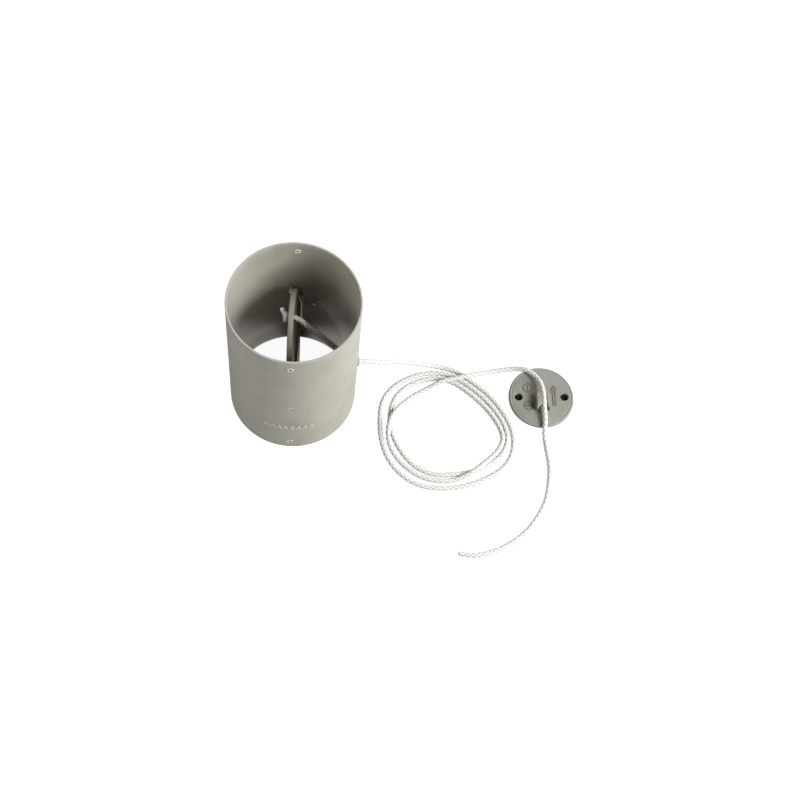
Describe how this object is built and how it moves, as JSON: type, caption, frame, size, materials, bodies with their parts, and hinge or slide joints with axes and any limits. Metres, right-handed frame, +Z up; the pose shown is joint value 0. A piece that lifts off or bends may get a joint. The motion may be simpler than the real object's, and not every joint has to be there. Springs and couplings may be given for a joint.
{
  "type": "cord operated duct damper",
  "caption": "Round duct section with a sprung butterfly flap turned by a pull cord, and a round guide plate that holds the cord.",
  "frame": {"origin": "centre of the tube's lower end, on the surface that the tube and the plate stand on", "axes": "+Z up the duct; the flap's axle lies along Y; the cord leaves the wall towards +X"},
  "size_m": [0.2783, 0.1871, 0.147],
  "materials": {
    "grey_plastic": "matte moulded warm grey",
    "pale_plastic": "satin moulded pale grey",
    "flap_plastic": "matte moulded warm grey",
    "plate_plastic": "satin moulded warm grey",
    "plated_steel": "zinc plated",
    "spring_steel": "drawn spring wire",
    "braided_cord": "white braided polyester",
    "black_foam": "closed-cell foam"
  },
  "bodies": {
    "root": {"duct_tube": "grey_plastic", "front_bush": "pale_plastic", "rear_bush": "pale_plastic", "stop_pins": "plated_steel", "spring_anchor": "plated_steel", "return_spring": "spring_steel", "outlet_bush": "pale_plastic", "inner_cord": "braided_cord", "pull_cord": "braided_cord", "guide_plate": "plate_plastic", "foam_pad": "black_foam"},
    "flap": {"flap_disc": "flap_plastic", "flap_axle": "plated_steel", "axle_washers": "plated_steel", "flap_screws": "plated_steel", "cord_knot": "braided_cord"}
  },
  "joints": [
    {"name": "flap_turn", "type": "hinge", "parent": "root", "child": "flap", "pos_m": [0, 0, 0.0705], "axis": [0, 1, 0], "range_deg": [0, 92], "stiffness_Nm_per_rad": 0.04, "springref_deg": -20.05, "deforming": ["return_spring", "inner_cord"]}
  ]
}
